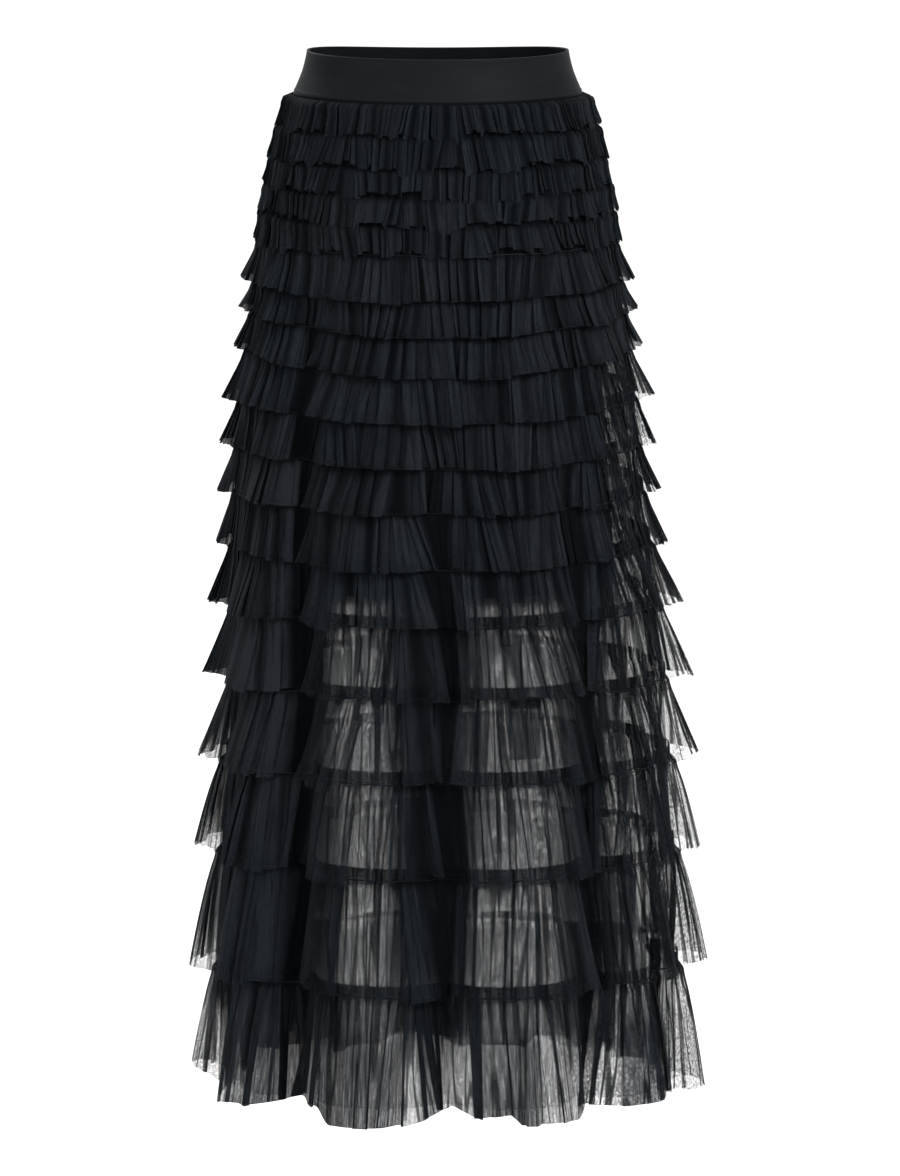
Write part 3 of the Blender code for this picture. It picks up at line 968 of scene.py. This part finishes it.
class SKIRT_OT_lining(bpy.types.Operator):
    """Short slip inside the base skirt"""

    bl_idname = "skirt.lining"
    bl_label = "Lining"

    def execute(self, context):
        sizes = context.scene.skirt_sizes
        theta = around(300)
        down = np.linspace(0.0, 1.0, 22)[:, None]
        z = HEIGHTS[0] + (LINING_HEM - HEIGHTS[0]) * down
        start = sizes.band_foot_half_width - 0.0017
        half = start + (LINING_HEM_HALF_WIDTH - start) * down
        soft = 0.0035 * smooth_noise(theta, 17, np.random.default_rng(61)) * down
        points, outward = ellipse(theta, half, half * depth_ratio(z), z)
        points += outward * (np.minimum(soft, 0.0) - 0.0003)[..., None]
        piece = grid_mesh("lining_slip", points, cloth_length(points[-1]), -z.ravel())
        dress(piece, shared("slip_cloth", lining_material), "lining_cloth", "lining")
        return {"FINISHED"}


def build_ruffles(first, last):
    """The ruffles of one group, each a sheet of net gathered onto the base skirt."""
    for number in range(first, last):
        points, looks, down = ruffle_surface(number)
        across = cloth_length(points[(len(points) + 2) // 2])
        piece = grid_mesh(f"ruffle_net_{number + 1:02d}", points, across, down, looks)
        dress(piece, shared("knitted_net", net_material), "net", f"ruffle_{number + 1:02d}")


class SKIRT_OT_small_ruffles(bpy.types.Operator):
    """Five short, closely gathered ruffles under the waistband"""

    bl_idname = "skirt.small_ruffles"
    bl_label = "Small ruffles"

    def execute(self, context):
        build_ruffles(0, SMALL_RUFFLES)
        return {"FINISHED"}


class SKIRT_OT_middle_ruffles(bpy.types.Operator):
    """Eight crisp ruffles over the hips and thighs"""

    bl_idname = "skirt.middle_ruffles"
    bl_label = "Middle ruffles"

    def execute(self, context):
        build_ruffles(SMALL_RUFFLES, LONG_START)
        return {"FINISHED"}


class SKIRT_OT_long_ruffles(bpy.types.Operator):
    """Five long sheer ruffles down to the hem"""

    bl_idname = "skirt.long_ruffles"
    bl_label = "Long ruffles"

    def execute(self, context):
        build_ruffles(LONG_START, len(RUFFLES))
        return {"FINISHED"}


class SKIRT_OT_seams(bpy.types.Operator):
    """Gathering seam round the head of each ruffle below the five small ones: a thin cord of thread on
    the base skirt
    """

    bl_idname = "skirt.seams"
    bl_label = "Seams"

    def execute(self, context):
        theta = around(320)
        sides = 3
        turn = (np.arange(sides) * TURN / sides)[:, None]
        radius = 0.0007 * (1.0 - 0.6 * at_back(theta))
        for number in range(SMALL_RUFFLES, len(RUFFLES)):
            points, outward = body(theta, number)
            wander = 0.0006 * smooth_noise(theta, 60, np.random.default_rng(900 + number))
            cord = points + outward * (0.0021 + radius * np.cos(turn))[..., None]
            cord[..., 2] += wander + radius * np.sin(turn)
            length, girth = cloth_length(points), np.arange(sides) * 0.0012
            piece = grid_mesh(f"seam_{number + 1:02d}", cord, length, girth, closed_rows=True)
            dress(piece, shared("sewing_thread", thread_material), "net")
        return {"FINISHED"}


class SKIRT_OT_tab(bpy.types.Operator):
    """Small plain ribbon tab inside the front"""

    bl_idname = "skirt.tab"
    bl_label = "Inner tab"

    def execute(self, context):
        low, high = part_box("inner_tab")
        across = np.linspace(0.0, 1.0, 25)
        down = np.linspace(0.0, 1.0, 33)[:, None]
        first, last = np.radians(TAB_ANGLES_DEG)
        points, outward = body(first + (last - first) * across, TAB_SEAM)
        grid = np.repeat((points - outward * 0.0021)[None], len(down), axis=0)
        grid[..., 2] = high.z + (low.z - high.z) * down
        sway = -0.0012 * np.sin(down * 2.4) - 0.0006 * np.sin(across * 7.0 + down * 3.0)
        grid += outward * np.minimum(sway, 0.0)[..., None]
        looks = {"layers": np.where(down < 0.16, 4.0, 1.0)}
        piece = grid_mesh("tab_ribbon", grid, across * 0.03, down.ravel() * 0.055, looks)
        dress(piece, shared("sheer_ribbon", tab_material), "tab_cloth", "inner_tab")
        return {"FINISHED"}


class SKIRT_OT_stage(bpy.types.Operator):
    """Pale floor, soft light and the camera"""

    bl_idname = "skirt.stage"
    bl_label = "Stage"

    def execute(self, context):
        scene = context.scene
        height = scene.skirt_sizes.floor_height
        mesh = bpy.data.meshes.new("floor")
        reach = FLOOR_REACH
        square = ((-reach, -reach), (reach, -reach), (reach, reach), (-reach, reach))
        mesh.from_pydata([(x, y, height) for x, y in square], [], [(0, 1, 2, 3)])
        floor = bpy.data.objects.new("floor", mesh)
        scene.collection.objects.link(floor)
        mesh.materials.append(Finish("pale_floor").shade({
            "Base Color": (0.62, 0.62, 0.62, 1.0),
            "Roughness": 0.9,
            "Specular IOR Level": 0.0,
            "Emission Color": (1.0, 1.0, 1.0, 1.0),
            "Emission Strength": 0.46,
        }))

        world = bpy.data.worlds.new("studio")
        world.use_nodes = True
        backdrop = world.node_tree.nodes["Background"].inputs
        backdrop["Color"].default_value = (1.0, 1.0, 1.0, 1.0)
        backdrop["Strength"].default_value = 1.0
        scene.world = world
        for lamp in LAMPS:
            light = bpy.data.lights.new(lamp.name, "AREA")
            light.size = lamp.size
            light.energy = lamp.power
            holder = bpy.data.objects.new(lamp.name, light)
            holder.location = lamp.place
            holder.rotation_euler = np.radians(lamp.turn_deg)
            scene.collection.objects.link(holder)

        camera = bpy.data.cameras.new("camera")
        camera.lens = CAMERA_LENS
        camera.sensor_width = 36.0
        camera.sensor_fit = "AUTO"
        camera.clip_end = 100.0
        eye = bpy.data.objects.new("camera", camera)
        eye.location = CAMERA_PLACE
        eye.rotation_euler = (np.radians(CAMERA_TILT_DEG), 0.0, 0.0)
        scene.collection.objects.link(eye)
        scene.camera = eye
        scene.view_settings.view_transform = "Standard"
        scene.cycles.transparent_max_bounces = 48
        return {"FINISHED"}


class SKIRT_PT_panel(bpy.types.Panel):
    """Lists the skirt's sizes, finishes and pieces"""

    bl_idname = "SKIRT_PT_panel"
    bl_label = "Tiered net skirt"
    bl_space_type = "VIEW_3D"
    bl_region_type = "UI"
    bl_category = "Skirt"

    def draw(self, context):
        """Every size and finish, then a button for each piece."""
        layout = self.layout
        for group in (context.scene.skirt_sizes, context.scene.skirt_finishes):
            for name in group.__annotations__:
                layout.prop(group, name)
        for operator in OPERATORS:
            layout.operator(operator.bl_idname)


OPERATORS = (
    SKIRT_OT_waistband,
    SKIRT_OT_base,
    SKIRT_OT_lining,
    SKIRT_OT_small_ruffles,
    SKIRT_OT_middle_ruffles,
    SKIRT_OT_long_ruffles,
    SKIRT_OT_seams,
    SKIRT_OT_tab,
    SKIRT_OT_stage,
)
CLASSES = (SkirtSizes, SkirtFinishes, *OPERATORS, SKIRT_PT_panel)


def register():
    """Adds the classes and the scene's sizes and finishes."""
    for entry in CLASSES:
        bpy.utils.register_class(entry)
    bpy.types.Scene.skirt_sizes = bpy.props.PointerProperty(type=SkirtSizes)
    bpy.types.Scene.skirt_finishes = bpy.props.PointerProperty(type=SkirtFinishes)


def unregister():
    """Takes them away again."""
    del bpy.types.Scene.skirt_finishes
    del bpy.types.Scene.skirt_sizes
    for entry in reversed(CLASSES):
        bpy.utils.unregister_class(entry)


def main():
    """Builds every piece in order."""
    register()
    bpy.ops.skirt.waistband()
    bpy.ops.skirt.base()
    bpy.ops.skirt.lining()
    bpy.ops.skirt.small_ruffles()
    bpy.ops.skirt.middle_ruffles()
    bpy.ops.skirt.long_ruffles()
    bpy.ops.skirt.seams()
    bpy.ops.skirt.tab()
    bpy.ops.skirt.stage()


if __name__ == "__main__":
    main()
